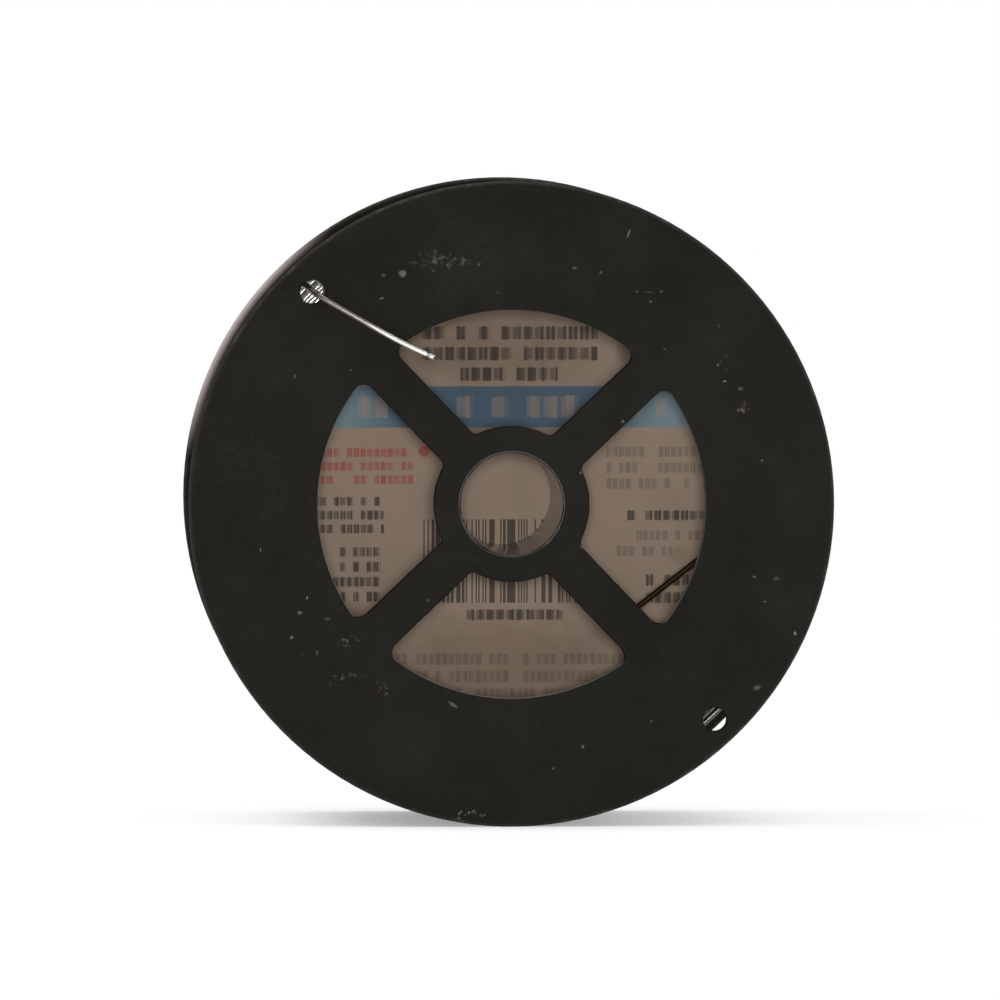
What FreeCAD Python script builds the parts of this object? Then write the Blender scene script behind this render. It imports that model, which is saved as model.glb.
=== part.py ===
import FreeCAD, Part
import math
import os

# Four-inch plastic spool of steel welding wire, millimetres.
# The spool is drawn about the Z axis with its plain, windowed face up and its labelled face down.
# It is then turned to stand on its two rims: axis along Y, plain face towards -Y, up in the photo is +Z.
# The origin is on the axis of the bore, half way between the outer faces of the two flanges.

# Moulded spool
flange_diameter = 101.6
spool_width = 44.45
flange_thickness = 2.4
flange_height = 14.8
rim_round = 0.5
edge_round = 0.25
bore_diameter = 16.1
hub_wall = 2.0
barrel_wall = 2.0
rib_thickness = 2.0

# Windows of the plain flange: four sectors between the hub ring and the barrel, parted by spokes.
# The whole spool stands rolled a little clockwise, so its spokes are not quite at 45 degrees.
hub_ring_width = 4.2
window_margin = 3.45
spoke_width = 6.57
spoke_angle = 43.7
spoke_count = 4
window_outer_corner = 1.7
window_inner_corner = 1.0

# Anchor holes for the free end of the wire, near the rim of the plain flange and almost in line with two spokes.
# The wire uses the first. The spare one across from it is moulded a little nearer the rim.
anchor_hole_diameter = 3.7
anchor_hole_inset = 4.97
anchor_hole_angle = spoke_angle + 89.6
spare_hole_inset = 4.15
spare_hole_angle = anchor_hole_angle + 180.0

# Wound wire
wire_diameter = 0.9
winding_depth = 9.9
winding_clearance = 0.1
turn_relief = 0.25
turn_crest_share = 0.45
layer_pitch_share = 0.866

# Outer end of the wire: out of the last turn, up through an anchor hole and over the plain face
lead_out_run = 8.0
lead_out_bend = 1.6
tail_bend = 1.0
tail_lift = 0.35
tail_tip_lift = 1.3
tail_turn = 16.7
tail_first_run = 13.3
tail_curl = 4.8
tail_curl_bend = 80.0
tail_last_run = 7.4

# Inner end of the wire: through the barrel wall into the hollow
start_angle = -13.6
start_slant = 51.8
start_length = 16.2
start_depth = 26.5
start_hole_clearance = 0.4

# Paper label on the outer face of the other flange, over the bore and the hollow
label_margin = 3.8
label_thickness = 0.2

half_width = spool_width / 2
flange_radius = flange_diameter / 2
bore_radius = bore_diameter / 2
hub_radius = bore_radius + hub_wall
barrel_radius = flange_radius - flange_height
barrel_inner_radius = barrel_radius - barrel_wall
hub_ring_radius = bore_radius + hub_ring_width
window_radius = barrel_inner_radius - window_margin
anchor_pitch_radius = flange_radius - anchor_hole_inset
spare_pitch_radius = flange_radius - spare_hole_inset
wire_radius = wire_diameter / 2
winding_inner_radius = barrel_radius + winding_clearance
winding_radius = winding_inner_radius + winding_depth
inner_face = half_width - flange_thickness

AXIS = FreeCAD.Vector(0, 0, 1)
TURN_TO_STAND = 90.0


def at(radius, angle, height=0.0):
    """Point at a radius and an angle in degrees, at a height along the spool's axis."""
    turn = math.radians(angle)
    return FreeCAD.Vector(radius * math.cos(turn), radius * math.sin(turn), height)


def drum(radius, bottom, top):
    """Round solid about the axis."""
    return Part.makeCylinder(radius, top - bottom, FreeCAD.Vector(0, 0, bottom), AXIS)


def sleeve(outer_radius, inner_radius, bottom, top):
    """Ring about the axis."""
    return drum(outer_radius, bottom, top).cut(drum(inner_radius, bottom, top))


def flange(bottom):
    """One flange as a plain disc with both edges of its rim rounded."""
    disc = drum(flange_radius, bottom, bottom + flange_thickness)
    rims = [edge for edge in disc.Edges if isinstance(edge.Curve, Part.Circle)]
    return disc.makeFillet(min(rim_round, 0.45 * flange_thickness), rims)


def spoke_bar(length, width, bottom, top, angle):
    """Flat bar that runs out from the axis at an angle."""
    bar = Part.makeBox(length, width, top - bottom, FreeCAD.Vector(0, -width / 2, bottom))
    bar.rotate(FreeCAD.Vector(0, 0, 0), AXIS, angle)
    return bar


def spoke_angles():
    """Directions of the spokes and of the ribs behind them."""
    return [spoke_angle + index * 360.0 / spoke_count for index in range(spoke_count)]


def windows():
    """Openings of the plain flange, with their upright corners rounded."""
    openings = sleeve(window_radius, hub_ring_radius, inner_face, half_width)
    for angle in spoke_angles():
        openings = openings.cut(spoke_bar(flange_radius, spoke_width, inner_face, half_width, angle))
    middle_radius = (window_radius + hub_ring_radius) / 2
    outer_corners = []
    inner_corners = []
    for edge in openings.Edges:
        if isinstance(edge.Curve, Part.Line) and abs(edge.tangentAt(0).z) > 0.99:
            corner = edge.Vertexes[0].Point
            is_outer = math.hypot(corner.x, corner.y) > middle_radius
            (outer_corners if is_outer else inner_corners).append(edge)
    openings = openings.makeFillet(window_outer_corner, outer_corners)
    inner_corners = [edge for edge in openings.Edges
                     if any(same_upright(edge, corner) for corner in inner_corners)]
    return openings.makeFillet(window_inner_corner, inner_corners)


def same_upright(edge, other):
    """Whether two straight upright edges stand on the same spot."""
    gap = edge.CenterOfMass - other.CenterOfMass
    return isinstance(edge.Curve, Part.Line) and gap.Length < 0.001


def anchor_holes():
    """Radius and direction of the anchor hole and of the spare one."""
    return [(anchor_pitch_radius, anchor_hole_angle), (spare_pitch_radius, spare_hole_angle)]


def start_line():
    """Point on the barrel's inner wall that the wire passes, and its direction into the hollow."""
    wall_point = at(barrel_inner_radius, start_angle, half_width - start_depth)
    inward = at(1.0, start_angle + 180.0 + start_slant)
    return wall_point, inward


def slanted(wall_depth):
    """Length along the slanted inner end that crosses a depth of wall measured radially."""
    return wall_depth / math.cos(math.radians(start_slant))


def start_hole():
    """Slanted hole in the barrel for the inner end of the wire."""
    wall_point, inward = start_line()
    radius = wire_radius + start_hole_clearance
    reach = slanted(barrel_wall + 2 * radius)
    return Part.makeCylinder(radius, reach + slanted(2 * radius), wall_point - inward * reach, inward)


def is_face_edge(edge):
    """Whether an edge is the mouth of a window, anchor hole or bore in the plain face."""
    box = edge.BoundBox
    flat = abs(box.ZMin - half_width) < 0.001 and abs(box.ZMax - half_width) < 0.001
    reach = max(math.hypot(vertex.X, vertex.Y) for vertex in edge.Vertexes)
    return flat and reach < flange_radius - 2 * rim_round


def spool():
    """One-piece moulding: two flanges, hollow barrel, hub tube and four ribs."""
    body = flange(inner_face).fuse(flange(-half_width))
    body = body.fuse(drum(barrel_radius, -half_width, half_width))
    body = body.cut(drum(barrel_inner_radius, -half_width, inner_face))
    inside = [drum(hub_radius, -half_width, half_width)]
    for angle in spoke_angles():
        rib = spoke_bar(barrel_radius - barrel_wall / 2, rib_thickness, -half_width, half_width, angle)
        inside.append(rib)
    body = body.multiFuse(inside)
    cuts = [windows(), drum(bore_radius, -half_width, half_width), start_hole()]
    for pitch_radius, angle in anchor_holes():
        centre = at(pitch_radius, angle, inner_face)
        cuts.append(Part.makeCylinder(anchor_hole_diameter / 2, flange_thickness, centre, AXIS))
    for cutter in cuts:
        body = body.cut(cutter)
    body = body.removeSplitter()
    openings = [edge for edge in body.Edges if is_face_edge(edge)]
    return body.makeFillet(edge_round, openings)


def ridges(first, last, step_count, bulge):
    """Points from one corner to another, with a low flat-topped ridge for each turn."""
    points = []
    step = (last - first) * (1.0 / step_count)
    shoulder = (1 - turn_crest_share) / 2
    for index in range(step_count):
        groove = first + step * index
        points.append(groove)
        points.append(groove + step * shoulder + bulge)
        points.append(groove + step * (1 - shoulder) + bulge)
    return points


def winding():
    """Wound wire as one turned solid, with its turns as ridges on its ends and its outside."""
    inner = winding_inner_radius
    outer = winding_radius - turn_relief
    top = inner_face - winding_clearance - turn_relief
    layers = int((outer - inner) / (wire_diameter * layer_pitch_share))
    turns = int(2 * top / wire_diameter)
    corners = [FreeCAD.Vector(inner, 0, -top), FreeCAD.Vector(outer, 0, -top),
               FreeCAD.Vector(outer, 0, top), FreeCAD.Vector(inner, 0, top)]
    points = ridges(corners[0], corners[1], layers, FreeCAD.Vector(0, 0, -turn_relief))
    points += ridges(corners[1], corners[2], turns, FreeCAD.Vector(turn_relief, 0, 0))
    points += ridges(corners[2], corners[3], layers, FreeCAD.Vector(0, 0, turn_relief))
    section = Part.Face(Part.makePolygon(points + [corners[3], corners[0]]))
    return section.revolve(FreeCAD.Vector(0, 0, 0), AXIS, 360)


def bent_wire(points, bends):
    """Round wire along straight runs joined by tangent arcs of the given radii."""
    edges = []
    start = points[0]
    for index, radius in enumerate(bends, 1):
        corner = points[index]
        back = (points[index - 1] - corner).normalize()
        ahead = (points[index + 1] - corner).normalize()
        half = back.getAngle(ahead) / 2
        setback = radius / math.tan(half)
        centre = corner + (back + ahead).normalize() * (radius / math.sin(half))
        middle = centre + (corner - centre).normalize() * radius
        edges.append(Part.LineSegment(start, corner + back * setback).toShape())
        edges.append(Part.Arc(corner + back * setback, middle, corner + ahead * setback).toShape())
        start = corner + ahead * setback
    edges.append(Part.LineSegment(start, points[-1]).toShape())
    path = Part.Wire(edges)
    rim = Part.Wire(Part.Circle(points[0], points[1] - points[0], wire_radius).toShape())
    return path.makePipeShell([rim], True, False)


def outer_end():
    """Last stretch of the wire: off the winding, up through the anchor hole and over the face."""
    hole = at(anchor_pitch_radius, anchor_hole_angle)
    swing = anchor_hole_diameter / 2 - wire_radius
    first_way = at(1.0, anchor_hole_angle + 180.0 + tail_turn)
    last_way = at(1.0, anchor_hole_angle + 180.0 + tail_turn + tail_curl)
    rise = (tail_tip_lift - tail_lift) / (tail_first_run + tail_last_run)
    lead_angle = anchor_hole_angle + math.degrees(lead_out_run / winding_radius)
    root = at(winding_radius - turn_relief - wire_radius, lead_angle, inner_face - 2 * wire_diameter)
    below = at(anchor_pitch_radius + swing, anchor_hole_angle, inner_face - wire_diameter)
    over = hole + first_way * swing + AXIS * (half_width + wire_radius + tail_lift)
    curl = over + (first_way + AXIS * rise) * tail_first_run
    tip = curl + (last_way + AXIS * rise) * tail_last_run
    return bent_wire([root, below, over, curl, tip], [lead_out_bend, tail_bend, tail_curl_bend])


def inner_end():
    """First stretch of the wire: from the bottom layer through the barrel into the hollow."""
    wall_point, inward = start_line()
    back = slanted(barrel_wall + winding_clearance + wire_diameter)
    return Part.makeCylinder(wire_radius, back + start_length, wall_point - inward * back, inward)


def wire():
    """Winding with its two ends, one continuous wire."""
    return winding().multiFuse([outer_end(), inner_end()])


def label():
    """Thin paper disc glued to the outer face of the lower flange."""
    return drum(flange_radius - label_margin, -half_width - label_thickness, -half_width)


def main():
    os.makedirs("parts", exist_ok=True)
    for name, shape in (("spool", spool()), ("wire", wire()), ("label", label())):
        shape.rotate(FreeCAD.Vector(0, 0, 0), FreeCAD.Vector(1, 0, 0), TURN_TO_STAND)
        shape.exportStep("parts/" + name + ".step")
        box = shape.BoundBox
        print(name, "solids", len(shape.Solids), "valid", shape.isValid(), "volume", round(shape.Volume),
              "x %.2f..%.2f y %.2f..%.2f z %.2f..%.2f" % (box.XMin, box.XMax, box.YMin, box.YMax,
                                                        box.ZMin, box.ZMax))


main()
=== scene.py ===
import math

import bpy
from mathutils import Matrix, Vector


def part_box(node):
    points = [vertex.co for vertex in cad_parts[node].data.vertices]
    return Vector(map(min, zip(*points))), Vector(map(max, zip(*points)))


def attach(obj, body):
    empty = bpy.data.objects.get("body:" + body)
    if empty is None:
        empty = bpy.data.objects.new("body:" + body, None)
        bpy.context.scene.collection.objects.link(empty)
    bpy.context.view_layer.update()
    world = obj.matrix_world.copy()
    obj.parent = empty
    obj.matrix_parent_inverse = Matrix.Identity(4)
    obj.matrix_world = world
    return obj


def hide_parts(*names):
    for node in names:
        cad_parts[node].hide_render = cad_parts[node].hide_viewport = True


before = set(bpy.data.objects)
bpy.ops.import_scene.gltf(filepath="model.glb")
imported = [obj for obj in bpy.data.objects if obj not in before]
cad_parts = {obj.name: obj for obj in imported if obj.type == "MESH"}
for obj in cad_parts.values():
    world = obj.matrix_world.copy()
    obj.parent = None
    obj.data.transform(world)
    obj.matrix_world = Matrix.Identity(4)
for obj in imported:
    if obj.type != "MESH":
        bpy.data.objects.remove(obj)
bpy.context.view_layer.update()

# Looks of a small plastic spool of steel welding wire, in metres.
# The spool's axis is Y. The plain windowed face looks towards -Y, the paper label towards +Y, and +Z is up.

bl_info = {
    "name": "Welding Wire Spool",
    "version": (1, 0, 0),
    "blender": (4, 5, 0),
    "location": "View3D > Sidebar > Wire Spool",
    "description": "Winds the wire, lays the paper label and finishes the moulded spool around its CAD frame",
    "category": "Add Mesh",
}

MM = 0.001
SPOOL_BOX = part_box("spool")
WIRE_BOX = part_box("wire")
LABEL_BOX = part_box("label")

# Places read from the frame
PLAIN_FACE = SPOOL_BOX[0].y
LABEL_SEAT = LABEL_BOX[0].y
RIM_RADIUS = SPOOL_BOX[1].x
FLOOR_HEIGHT = SPOOL_BOX[0].z
WINDING_RADIUS = WIRE_BOX[1].z
WINDING_HALF_WIDTH = WIRE_BOX[1].y
LABEL_RADIUS = LABEL_BOX[1].x

# Places shared with the moulded spool
BORE_RADIUS = 8.05 * MM
HUB_RADIUS = 10.05 * MM
WINDOW_RADIUS = 30.55 * MM
HOLLOW_RADIUS = 34.0 * MM
BARREL_RADIUS = 36.0 * MM
SPOKE_ANGLE = math.radians(43.7)
ANCHOR_ANGLE = SPOKE_ANGLE + math.radians(89.6)
# Way round the axis, from straight up towards the left, to the painted highlight on the far rim
FAR_RIM_HIGHLIGHT_ANGLE = math.radians(58)

# Middles of the wire's anchor hole and of the unused one: right and up in mm
ANCHOR_HOLE = (-31.43, 33.35)
SPARE_HOLE = (32.0, -34.0)
HOLE_RADIUS = 1.85 * MM

# Stepping down of the winding beside the plain flange
SHOULDER_WIDTH = 5.8 * MM
SHOULDER_SHARE = 0.34

# Outer end of the wire, from the anchor hole over the plain face: right, depth and height in mm
OUTER_END_ROUTE = (
    (-36.4, -19.00, 31.3),
    (-34.3, -18.90, 34.3),
    (-32.9, -19.30, 35.0),
    (-31.7, -21.10, 33.9),
    (-30.4, -22.80, 32.85),
    (-28.2, -23.12, 31.55),
    (-24.0, -23.30, 29.15),
    (-18.5, -23.58, 26.00),
    (-15.0, -23.76, 24.28),
    (-12.5, -23.90, 23.20),
)
POINTS_THROUGH_HOLE = 5

# Inner end of the wire, from the barrel's wall into the hollow
INNER_END_ROUTE = (
    (36.60, 4.28, -5.20),
    (33.05, 4.28, -7.99),
    (27.60, 4.20, -12.35),
    (20.35, 4.32, -17.95),
)

# Rubbed and dusty marks on the plain face: right, up, length and height in mm, turn in degrees, strength
FACE_MARKS = (
    (-17.2, 36.3, 2.0, 1.8, 0, 0.50),
    (-20.2, 36.0, 1.1, 0.9, 0, 0.28),
    (-20.4, 32.4, 1.2, 0.5, 15, 0.50),
    (-25.3, 21.1, 0.9, 0.5, 10, 0.30),
    (-34.1, 20.2, 0.5, 1.3, 0, 0.32),
    (9.9, 37.1, 1.3, 0.7, -10, 0.32),
    (14.0, 36.4, 0.8, 0.9, 0, 0.30),
    (18.4, 42.6, 0.35, 2.3, -22, 0.80),
    (19.7, 33.4, 0.8, 0.5, 0, 0.45),
    (23.5, 33.4, 0.7, 0.6, 0, 0.45),
    (21.6, 33.3, 2.6, 0.3, 0, 0.25),
    (32.6, 28.0, 0.4, 1.3, 0, 0.30),
    (32.4, 21.9, 0.7, 0.7, 0, 0.40),
    (33.5, 19.3, 0.9, 0.45, 12, 0.80),
    (36.0, 18.1, 1.5, 1.1, 0, 0.28),
    (38.2, -11.5, 1.0, 0.6, -20, 0.42),
    (41.7, -11.8, 1.6, 0.8, 0, 0.22),
    (39.8, -15.4, 0.8, 0.4, 0, 0.42),
    (44.6, -20.4, 0.7, 1.0, 10, 0.75),
    (38.7, -29.0, 2.1, 1.3, 15, 0.34),
    (22.0, -34.2, 0.6, 0.7, 0, 0.35),
    (11.2, -38.2, 0.7, 0.9, 0, 0.42),
    (-9.2, -31.6, 3.0, 0.8, -35, 0.42),
    (-30.6, -23.3, 0.5, 1.4, 0, 0.26),
    (-34.6, -20.9, 0.9, 0.8, 0, 0.45),
    (-33.3, -17.0, 1.2, 1.0, 0, 0.45),
    (-32.2, -14.7, 0.4, 1.0, -25, 0.78),
    (-29.0, -18.0, 1.5, 0.8, 0, 0.24),
    (-39.5, -7.1, 0.35, 1.2, 0, 0.50),
)

# Patches of scattered specks on the plain face, in the same terms
FACE_SPECKS = (
    (-10.3, 38.2, 11.0, 3.4, -4, 0.34),
    (36.6, 15.0, 2.2, 2.4, 0, 0.45),
    (-20.0, -29.0, 3.4, 2.0, -30, 0.35),
    (-26.6, -27.4, 7.0, 2.2, 4, 0.32),
    (-25.6, -21.6, 5.0, 1.6, 24, 0.40),
    (-6.6, -48.8, 5.5, 1.4, 2, 0.85),
    (33.5, 22.5, 4.0, 2.6, 20, 0.14),
)
MARK_DEPTH = 1.2 * MM

# Way from the middle of the anchor hole to the side of its edge that gets a painted highlight
HOLE_HIGHLIGHT_SIDE = (0.83, 0.0, 0.56)

# Print of the label, seen from the plain side: left, right, bottom, top, row pitch and stroke width in mm
DARK_ROWS = (
    (-12.4, 15.6, 20.9, 27.5, 3.3, 0.45),
    (-6.4, 9.2, 17.6, 20.9, 3.3, 0.45),
    (-31.0, -18.6, -6.6, -0.2, 2.2, 0.27),
    (-26.8, -19.2, -17.6, -8.0, 2.4, 0.27),
    (20.4, 33.0, -4.6, -2.2, 2.4, 0.36),
    (23.4, 31.0, -18.0, -12.4, 2.8, 0.36),
    (-8.6, 10.0, -20.6, -18.0, 2.6, 0.40),
)
FAINT_ROWS = (
    (17.0, 33.0, 0.4, 8.1, 2.56, 0.26),
    (20.8, 33.0, -7.8, -5.4, 2.4, 0.26),
    (18.6, 27.6, -10.3, -7.9, 2.4, 0.26),
    (-19.0, 21.0, -33.4, -25.0, 2.8, 0.27),
    (-20.0, 20.0, 30.5, 37.9, 2.4, 0.27),
    (-18.0, 19.0, -40.6, -34.0, 2.4, 0.27),
)
RED_ROWS = ((-31.0, -14.0, 1.3, 7.78, 2.16, 0.27),)
PALE_ROWS = (
    (-7.0, 14.2, 11.2, 16.8, 5.6, 0.70),
    (-34.0, -18.0, 11.2, 16.8, 5.6, 0.70),
    (21.0, 34.0, 11.2, 16.8, 5.6, 0.50),
)

# Its band and its bars have left, right, bottom and top, and its dot right, up and radius
BLUE_BAND = (-44.0, 44.0, 10.7, 17.3)
BARS = (-12.4, 13.0, -17.4, -4.0)
BAR_WIDTH = 0.22
RED_DOT = (-12.2, 6.9, 0.9)

# Brown stains on the back of the label, the last two broad patches that darken the paper over the lower and
# upper windows: right, up, length and height in mm, strength
STAINS = (
    (19.6, 22.4, 3.4, 5.0, 0.55),
    (-14.6, 25.6, 9.0, 3.4, 0.30),
    (-24.0, -19.0, 6.0, 5.0, 0.35),
    (29.0, -9.6, 5.0, 4.2, 0.30),
    (27.5, -17.5, 6.0, 5.0, 0.28),
    (0.0, -27.0, 50.0, 22.0, 0.38),
    (-2.0, 25.0, 40.0, 20.0, 0.42),
)
STAIN_DEPTH = 9 * MM
STAIN_BROWN = (0.42, 0.33, 0.27)

# Blue that the band fades towards at its ends
FADED_BAND = (0.30, 0.44, 0.46)

# Painted shade on the wire: in the hollow, beside the anchor hole and under the unused one
HOLLOW_SHADE = (0.045, 0.022, 0.008)
HOLE_SHADE = (0.12, 0.092, 0.08)
SPARE_SHADE = (0.06, 0.055, 0.05)

# Fineness of the winding: steps in a turn, of the outer layer and below it, and sides of the wire, of the
# turns that show and of the second layer
OUTER_STEPS = 96
INNER_STEPS = 72
SHOWN_SIDES = 8
SECOND_SIDES = 6

# Lamps: azimuth and elevation in degrees, distance and size in metres, watts, and whether gloss mirrors them
LAMPS = (
    ("front_wash", 2.4, 2.1, 2.9, 0.2, 6, False),
    ("spark", 1.9, 2.4, 2.2, 0.16, 23, True),
    ("key", 40, 62, 1.6, 0.6, 3, True),
    ("fill", -56, 22, 1.8, 0.9, 10, True),
    ("overhead", -30, 80, 1.2, 0.9, 8, True),
    ("rim_light", 96, 66, 1.3, 0.5, 9, False),
)


def size_value(name, text, default, **limits):
    """Length in metres that a user can change."""
    return bpy.props.FloatProperty(name=name, description=text, default=default, unit="LENGTH",
                                   precision=5, **limits)


def colour_value(name, text, default):
    """Colour that a user can change."""
    return bpy.props.FloatVectorProperty(name=name, description=text, default=default, subtype="COLOR",
                                         size=3, min=0.0, max=1.0)


def share_value(name, text, default):
    """Plain number between nothing and all."""
    return bpy.props.FloatProperty(name=name, description=text, default=default, min=0.0, max=1.0)


class PlasticSettings(bpy.types.PropertyGroup):
    """Finish of the moulded spool."""

    colour: colour_value("Plastic", "Colour of the moulded plastic", (0.0072, 0.0061, 0.0043))
    # Also the colour of the painted highlights on the rims and on the window and anchor-hole edges
    dust_and_highlight_colour: colour_value("Dust", "Colour of dust and scuffs", (0.16, 0.15, 0.14))
    # Pale colour of the painted highlight on the far rim
    far_rim_highlight_colour: colour_value("Film", "Colour of the pale film on the far rim", (0.42, 0.36, 0.35))
    roughness: share_value("Roughness", "Roughness of the flanges and spokes", 0.52)
    gloss: share_value("Specular", "Specular level of the plastic", 0.042)
    grain: size_value("Grain", "Depth of the fine surface grain", 0.012 * MM)


class WireSettings(bpy.types.PropertyGroup):
    """Sizes and finish of the wound wire."""

    diameter: size_value("Diameter", "Diameter of the wire", 0.9 * MM, min=0.0001)
    turns: bpy.props.IntProperty(name="Turns", description="Turns of the outermost layer", default=42, min=2)
    waviness: size_value("Waviness", "How far the turns stray from their place", 0.2 * MM)
    crossing_turns: bpy.props.IntProperty(name="Crossing turns", min=1, default=3,
                                          description="Steep turns on top that lead to the anchor hole")
    colour: colour_value("Steel", "Colour of the drawn steel", (0.62, 0.60, 0.57))
    roughness: share_value("Roughness", "Roughness of the drawn steel", 0.33)


class LabelSettings(bpy.types.PropertyGroup):
    """Sizes and colours of the paper label."""

    thickness: size_value("Thickness", "Thickness of the paper", LABEL_BOX[1].y - LABEL_BOX[0].y)
    ripple: size_value("Ripple", "How far the paper sags over the hollow", 0.35 * MM)
    paper: colour_value("Paper", "Colour of the printed side", (0.80, 0.78, 0.74))
    # Painted shade: the glued side is a darker brown than the paper, standing in for the paper in shade in
    # the hollow
    back: colour_value("Back", "Colour of the glued side", (0.338, 0.250, 0.185))
    ink: colour_value("Ink", "Colour of the dark print", (0.035, 0.033, 0.035))
    band: colour_value("Band", "Colour of the printed band", (0.040, 0.103, 0.172))
    accent: colour_value("Accent", "Colour of the small marks", (0.36, 0.036, 0.034))


class StageSettings(bpy.types.PropertyGroup):
    """Camera, lamps and floor."""

    azimuth: bpy.props.FloatProperty(name="Azimuth", description="How far the camera stands to the left",
                                     default=math.radians(2.35), subtype="ANGLE")
    elevation: bpy.props.FloatProperty(name="Elevation", description="How far the camera looks down",
                                       default=math.radians(2.04), subtype="ANGLE")
    distance: size_value("Distance", "From the camera to the plain face", 2317 * MM)
    lens: bpy.props.FloatProperty(name="Lens", description="Focal length in mm on a 36 mm sensor",
                                  default=530.7)
    aim_right: size_value("Aim right", "Point of the plain face in the middle of the picture", -1.855 * MM)
    aim_up: size_value("Aim up", "Point of the plain face in the middle of the picture", 0.66 * MM)
    sky: share_value("Sky", "Brightness of the room around the object", 0.55)
    front_sky: share_value("Front sky", "Brightness of the room in front of the plain face", 0.1)
    floor_colour: colour_value("Floor", "Colour of the floor", (0.80, 0.80, 0.80))


class Graph:
    """Node tree under construction, with short ways to add the nodes that this file uses."""

    def __init__(self, tree):
        self.tree = tree

    def feed(self, socket, value):
        """Links a socket into another one, or writes a plain value there."""
        if isinstance(value, bpy.types.NodeSocket):
            self.tree.links.new(value, socket)
        else:
            socket.default_value = value

    def node(self, kind, inputs=None, **settings):
        """Adds a node, sets its properties and feeds its inputs by name or number."""
        made = self.tree.nodes.new(kind)
        for name, value in settings.items():
            setattr(made, name, value)
        for name, value in (inputs or {}).items():
            self.feed(made.inputs[name], value)
        return made

    def math(self, operation, *values, clamp=False):
        """Arithmetic on numbers."""
        inputs = dict(enumerate(values))
        return self.node("ShaderNodeMath", inputs, operation=operation, use_clamp=clamp).outputs[0]

    def fold(self, operation, values):
        """One number from several, taken in order."""
        total = values[0]
        for value in values[1:]:
            total = self.math(operation, total, value)
        return total

    def product(self, *values):
        """All the values multiplied."""
        return self.fold("MULTIPLY", values)

    def highest(self, *values):
        """Largest of the values."""
        return self.fold("MAXIMUM", values)

    def vector(self, operation, *values, output="Vector"):
        """Arithmetic on vectors."""
        inputs = dict(enumerate(values))
        return self.node("ShaderNodeVectorMath", inputs, operation=operation).outputs[output]

    def length(self, vector):
        """Length of a vector."""
        return self.vector("LENGTH", vector, output="Value")

    def split(self, position):
        """The three parts of a vector."""
        return self.node("ShaderNodeSeparateXYZ", {0: position}).outputs

    def join(self, *values):
        """Vector of up to three parts."""
        return self.node("ShaderNodeCombineXYZ", dict(enumerate(values))).outputs[0]

    def from_point(self, parts, place):
        """Offset from a point that is given as right and up in mm, leaving out the depth."""
        right, up = place
        return self.vector("SUBTRACT", self.join(parts[0], 0.0, parts[2]), (right * MM, 0, up * MM))

    def reach(self, first, second):
        """Distance from an axis, from the two parts across it."""
        squares = self.math("ADD", self.product(first, first), self.product(second, second))
        return self.math("SQRT", squares)

    def step(self, value, start, end, low=0.0, high=1.0):
        """Smooth change from low to high as the value goes from start to end."""
        inputs = {"Value": value, "From Min": start, "From Max": end, "To Min": low, "To Max": high}
        return self.node("ShaderNodeMapRange", inputs, interpolation_type="SMOOTHSTEP").outputs["Result"]

    def fade(self, value, start, end):
        """Smooth change from all to nothing as the value goes from start to end."""
        return self.step(value, start, end, 1.0, 0.0)

    def edge(self, value, place, softness, low=0.0, high=1.0):
        """Soft change from low to high where the value passes a place."""
        start = self.math("SUBTRACT", place, softness)
        return self.step(value, start, self.math("ADD", place, softness), low, high)

    def mix(self, factor, first, second, blend="MIX"):
        """Blend of two colours, which the Mix node takes at its inputs 6 and 7 and gives at its output 2."""
        inputs = {0: factor, 6: first, 7: second}
        return self.node("ShaderNodeMix", inputs, data_type="RGBA", blend_type=blend).outputs[2]

    def noise(self, position, scale, detail=2.0, roughness=0.5):
        """Cloudy noise around one half."""
        inputs = {"Vector": position, "Scale": scale, "Detail": detail, "Roughness": roughness}
        return self.node("ShaderNodeTexNoise", inputs).outputs["Fac"]

    def chance(self, *values):
        """Random number that up to three values fix."""
        inputs = {"Vector": self.join(*values)}
        return self.node("ShaderNodeTexWhiteNoise", inputs, noise_dimensions="3D").outputs["Value"]

    def group(self, build, inputs):
        """Places the node group that a function builds, built only once, and feeds its inputs."""
        name = build.__name__.removeprefix("build_")
        tree = bpy.data.node_groups.get(name) or build(name)
        return self.node("ShaderNodeGroup", inputs, node_tree=tree).outputs


def new_group(name, vectors, numbers, results):
    """Node group with named sockets; returns its graph, the sockets inside and those of its output."""
    tree = bpy.data.node_groups.new(name, "ShaderNodeTree")
    for labels, side, kind in ((vectors, "INPUT", "Vector"), (numbers, "INPUT", "Float"),
                               (results, "OUTPUT", "Float")):
        for label in labels:
            tree.interface.new_socket(label, in_out=side, socket_type="NodeSocket" + kind)
    entry = tree.nodes.new("NodeGroupInput")
    leave = tree.nodes.new("NodeGroupOutput")
    return Graph(tree), entry.outputs, leave.inputs


def opaque(colour, factor=1.0):
    """Colour of three parts with full alpha, made darker or lighter by a factor."""
    return (*(part * factor for part in colour), 1.0)


def build_scuff_spot(name):
    """One soft patch of rubbed or dusty plastic: whole, or scattered specks where Speckle is one."""
    graph, given, result = new_group(name, ("Position", "Centre", "Size"), ("Break", "Speckle", "Turn"),
                                     ("Mask",))
    away = graph.vector("SUBTRACT", given["Position"], given["Centre"])
    turned_away = graph.node("ShaderNodeVectorRotate", {"Vector": away, "Angle": given["Turn"]},
                             rotation_type="Y_AXIS").outputs[0]
    distance = graph.length(graph.vector("DIVIDE", turned_away, given["Size"]))
    inside = graph.math("SUBTRACT", 1.0, distance)
    share = graph.math("MULTIPLY_ADD", given["Speckle"], -0.6, 1.0)
    weight = graph.math("MULTIPLY_ADD", given["Speckle"], 1.9, 0.9)
    ragged = graph.product(graph.math("SUBTRACT", given["Break"], 0.5), weight)
    total = graph.math("MULTIPLY_ADD", inside, share, ragged)
    within = graph.fade(distance, 1.0, 1.3)
    graph.feed(result["Mask"], graph.product(graph.step(total, 0.2, 0.75), within))
    return graph.tree


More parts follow.
